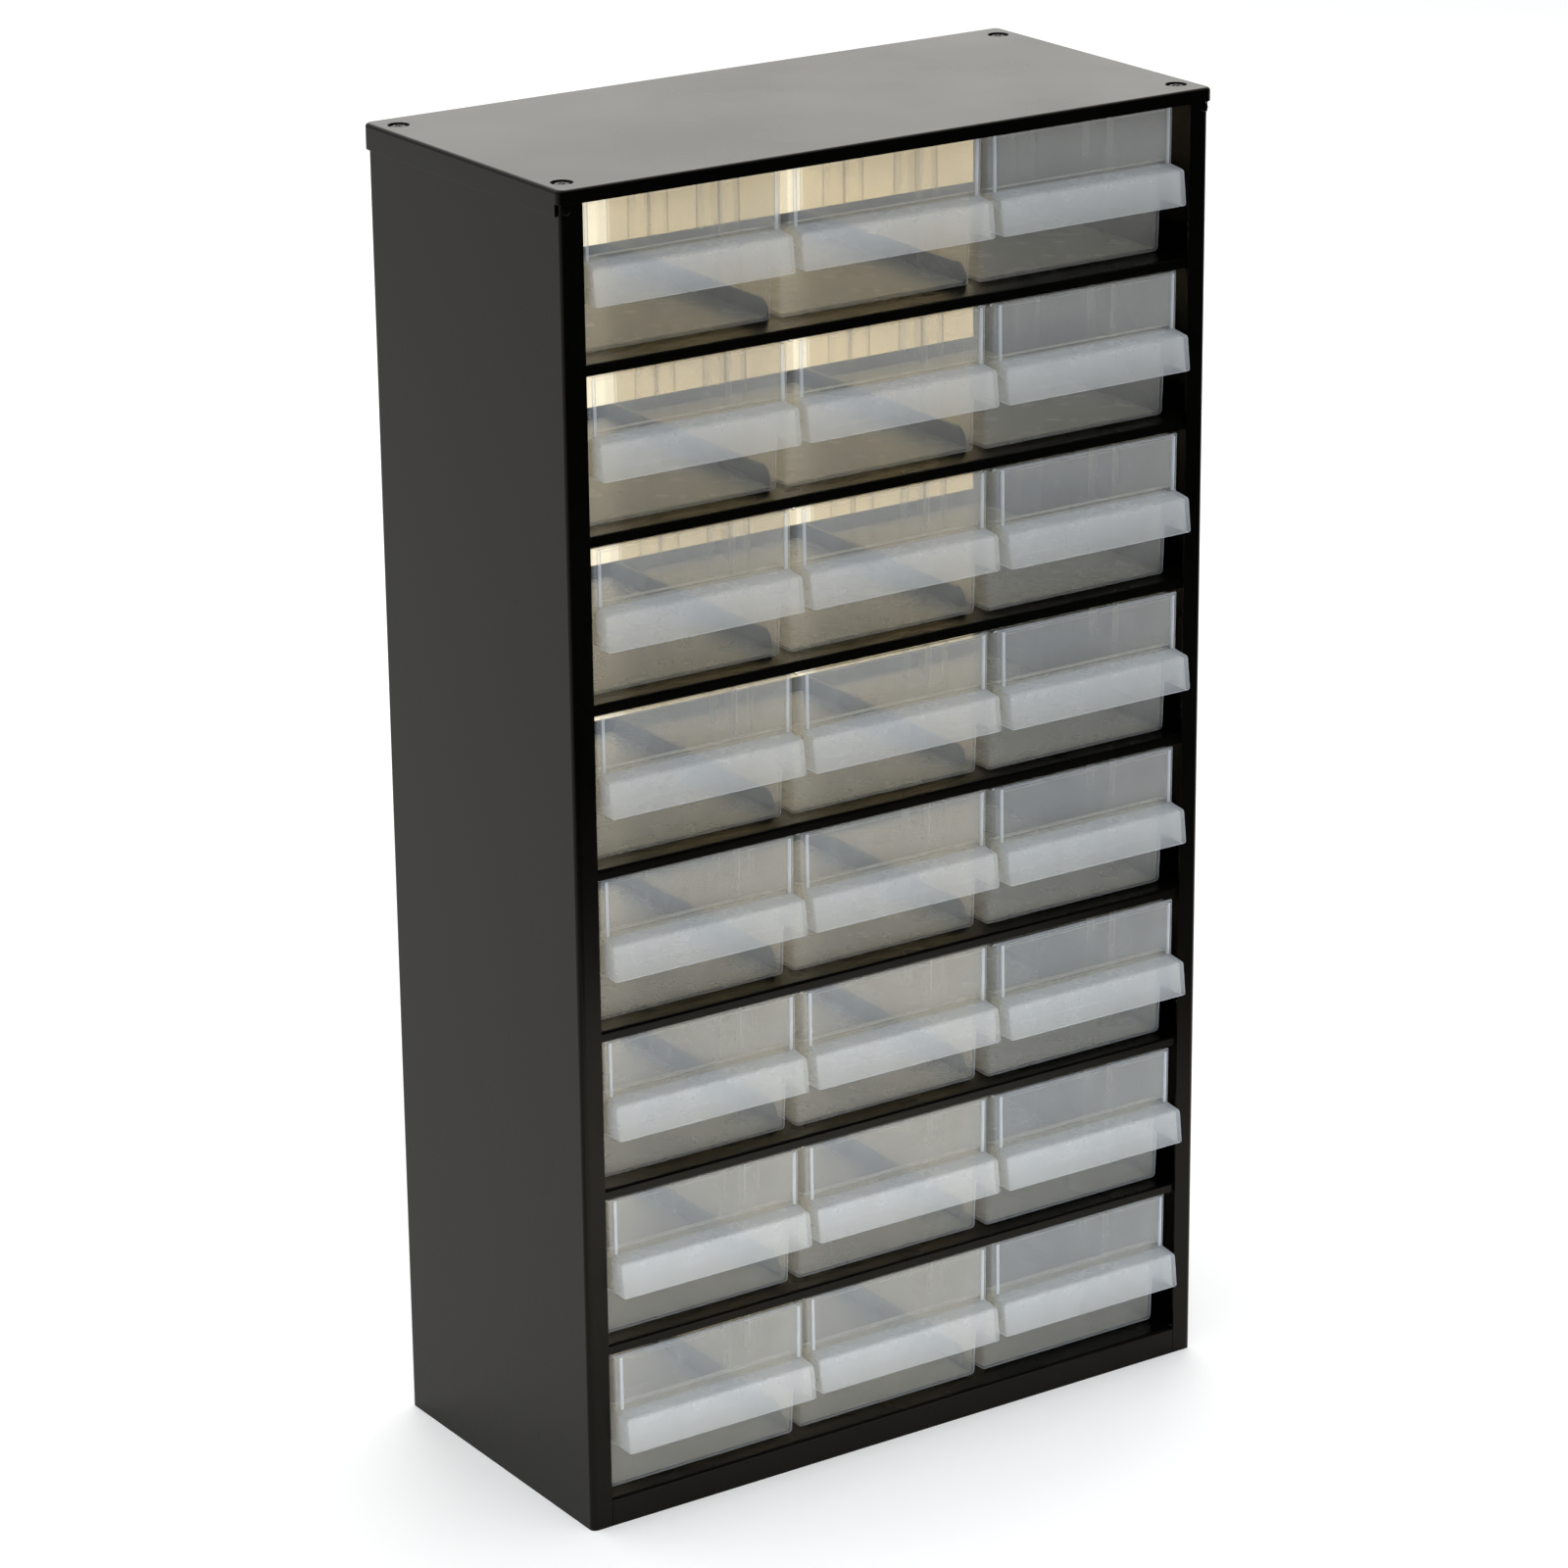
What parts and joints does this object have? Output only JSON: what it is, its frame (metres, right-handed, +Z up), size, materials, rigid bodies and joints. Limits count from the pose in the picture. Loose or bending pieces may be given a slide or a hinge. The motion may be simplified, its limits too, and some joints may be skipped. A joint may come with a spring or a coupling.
{
  "type": "parts organizer",
  "caption": "Tall black steel cabinet, open at the back, holding rows of frosted plastic drawers, each with a label panel, a full-width pull and a catch that stops it at full travel.",
  "frame": {"origin": "bottom centre of the whole object's box, on the ground under the cabinet", "axes": "+Z up, -Y out of the drawer fronts, +X to the right of someone facing the drawers"},
  "size_m": [0.306, 0.1557, 0.552],
  "materials": {
    "black_powder_coat": "satin black powder coat on sheet steel",
    "frosted_plastic": "frosted translucent polypropylene, clear natural colour",
    "black_screw": "black oxide steel"
  },
  "bodies": {
    "cabinet": {"left_side": "black_powder_coat", "right_side": "black_powder_coat", "lid": "black_powder_coat", "base_pan": "black_powder_coat", "shelf_1": "black_powder_coat", "shelf_2": "black_powder_coat", "shelf_3": "black_powder_coat", "shelf_4": "black_powder_coat", "shelf_5": "black_powder_coat", "shelf_6": "black_powder_coat", "shelf_7": "black_powder_coat", "lid_screw_front_left": "black_screw", "lid_screw_front_right": "black_screw", "lid_screw_rear_left": "black_screw", "lid_screw_rear_right": "black_screw"},
    "drawer_r1_c1": {"drawer_r1_c1": "frosted_plastic"},
    "drawer_r1_c2": {"drawer_r1_c2": "frosted_plastic"},
    "drawer_r1_c3": {"drawer_r1_c3": "frosted_plastic"},
    "drawer_r2_c1": {"drawer_r2_c1": "frosted_plastic"},
    "drawer_r2_c2": {"drawer_r2_c2": "frosted_plastic"},
    "drawer_r2_c3": {"drawer_r2_c3": "frosted_plastic"},
    "drawer_r3_c1": {"drawer_r3_c1": "frosted_plastic"},
    "drawer_r3_c2": {"drawer_r3_c2": "frosted_plastic"},
    "drawer_r3_c3": {"drawer_r3_c3": "frosted_plastic"},
    "drawer_r4_c1": {"drawer_r4_c1": "frosted_plastic"},
    "drawer_r4_c2": {"drawer_r4_c2": "frosted_plastic"},
    "drawer_r4_c3": {"drawer_r4_c3": "frosted_plastic"},
    "drawer_r5_c1": {"drawer_r5_c1": "frosted_plastic"},
    "drawer_r5_c2": {"drawer_r5_c2": "frosted_plastic"},
    "drawer_r5_c3": {"drawer_r5_c3": "frosted_plastic"},
    "drawer_r6_c1": {"drawer_r6_c1": "frosted_plastic"},
    "drawer_r6_c2": {"drawer_r6_c2": "frosted_plastic"},
    "drawer_r6_c3": {"drawer_r6_c3": "frosted_plastic"},
    "drawer_r7_c1": {"drawer_r7_c1": "frosted_plastic"},
    "drawer_r7_c2": {"drawer_r7_c2": "frosted_plastic"},
    "drawer_r7_c3": {"drawer_r7_c3": "frosted_plastic"},
    "drawer_r8_c1": {"drawer_r8_c1": "frosted_plastic"},
    "drawer_r8_c2": {"drawer_r8_c2": "frosted_plastic"},
    "drawer_r8_c3": {"drawer_r8_c3": "frosted_plastic"}
  },
  "joints": [
    {"name": "slide_r1_c1", "type": "slide", "parent": "cabinet", "child": "drawer_r1_c1", "axis": [0, -1, 0], "range_m": [0, 0.1226]},
    {"name": "slide_r1_c2", "type": "slide", "parent": "cabinet", "child": "drawer_r1_c2", "axis": [0, -1, 0], "range_m": [0, 0.1226]},
    {"name": "slide_r1_c3", "type": "slide", "parent": "cabinet", "child": "drawer_r1_c3", "axis": [0, -1, 0], "range_m": [0, 0.1226]},
    {"name": "slide_r2_c1", "type": "slide", "parent": "cabinet", "child": "drawer_r2_c1", "axis": [0, -1, 0], "range_m": [-0.003, 0.117]},
    {"name": "slide_r2_c2", "type": "slide", "parent": "cabinet", "child": "drawer_r2_c2", "axis": [0, -1, 0], "range_m": [-0.003, 0.117]},
    {"name": "slide_r2_c3", "type": "slide", "parent": "cabinet", "child": "drawer_r2_c3", "axis": [0, -1, 0], "range_m": [-0.004, 0.116]},
    {"name": "slide_r3_c1", "type": "slide", "parent": "cabinet", "child": "drawer_r3_c1", "axis": [0, -1, 0], "range_m": [-0.004, 0.116]},
    {"name": "slide_r3_c2", "type": "slide", "parent": "cabinet", "child": "drawer_r3_c2", "axis": [0, -1, 0], "range_m": [-0.004, 0.116]},
    {"name": "slide_r3_c3", "type": "slide", "parent": "cabinet", "child": "drawer_r3_c3", "axis": [0, -1, 0], "range_m": [-0.006, 0.114]},
    {"name": "slide_r4_c1", "type": "slide", "parent": "cabinet", "child": "drawer_r4_c1", "axis": [0, -1, 0], "range_m": [-0.004, 0.116]},
    {"name": "slide_r4_c2", "type": "slide", "parent": "cabinet", "child": "drawer_r4_c2", "axis": [0, -1, 0], "range_m": [-0.005, 0.115]},
    {"name": "slide_r4_c3", "type": "slide", "parent": "cabinet", "child": "drawer_r4_c3", "axis": [0, -1, 0], "range_m": [-0.007, 0.113]},
    {"name": "slide_r5_c1", "type": "slide", "parent": "cabinet", "child": "drawer_r5_c1", "axis": [0, -1, 0], "range_m": [-0.004, 0.116]},
    {"name": "slide_r5_c2", "type": "slide", "parent": "cabinet", "child": "drawer_r5_c2", "axis": [0, -1, 0], "range_m": [-0.004, 0.116]},
    {"name": "slide_r5_c3", "type": "slide", "parent": "cabinet", "child": "drawer_r5_c3", "axis": [0, -1, 0], "range_m": [-0.006, 0.114]},
    {"name": "slide_r6_c1", "type": "slide", "parent": "cabinet", "child": "drawer_r6_c1", "axis": [0, -1, 0], "range_m": [-0.004, 0.116]},
    {"name": "slide_r6_c2", "type": "slide", "parent": "cabinet", "child": "drawer_r6_c2", "axis": [0, -1, 0], "range_m": [-0.005, 0.115]},
    {"name": "slide_r6_c3", "type": "slide", "parent": "cabinet", "child": "drawer_r6_c3", "axis": [0, -1, 0], "range_m": [-0.007, 0.113]},
    {"name": "slide_r7_c1", "type": "slide", "parent": "cabinet", "child": "drawer_r7_c1", "axis": [0, -1, 0], "range_m": [-0.005, 0.115]},
    {"name": "slide_r7_c2", "type": "slide", "parent": "cabinet", "child": "drawer_r7_c2", "axis": [0, -1, 0], "range_m": [-0.005, 0.115]},
    {"name": "slide_r7_c3", "type": "slide", "parent": "cabinet", "child": "drawer_r7_c3", "axis": [0, -1, 0], "range_m": [-0.006, 0.114]},
    {"name": "slide_r8_c1", "type": "slide", "parent": "cabinet", "child": "drawer_r8_c1", "axis": [0, -1, 0], "range_m": [-0.007, 0.113]},
    {"name": "slide_r8_c2", "type": "slide", "parent": "cabinet", "child": "drawer_r8_c2", "axis": [0, -1, 0], "range_m": [-0.005, 0.115]},
    {"name": "slide_r8_c3", "type": "slide", "parent": "cabinet", "child": "drawer_r8_c3", "axis": [0, -1, 0], "range_m": [-0.004, 0.116]}
  ]
}
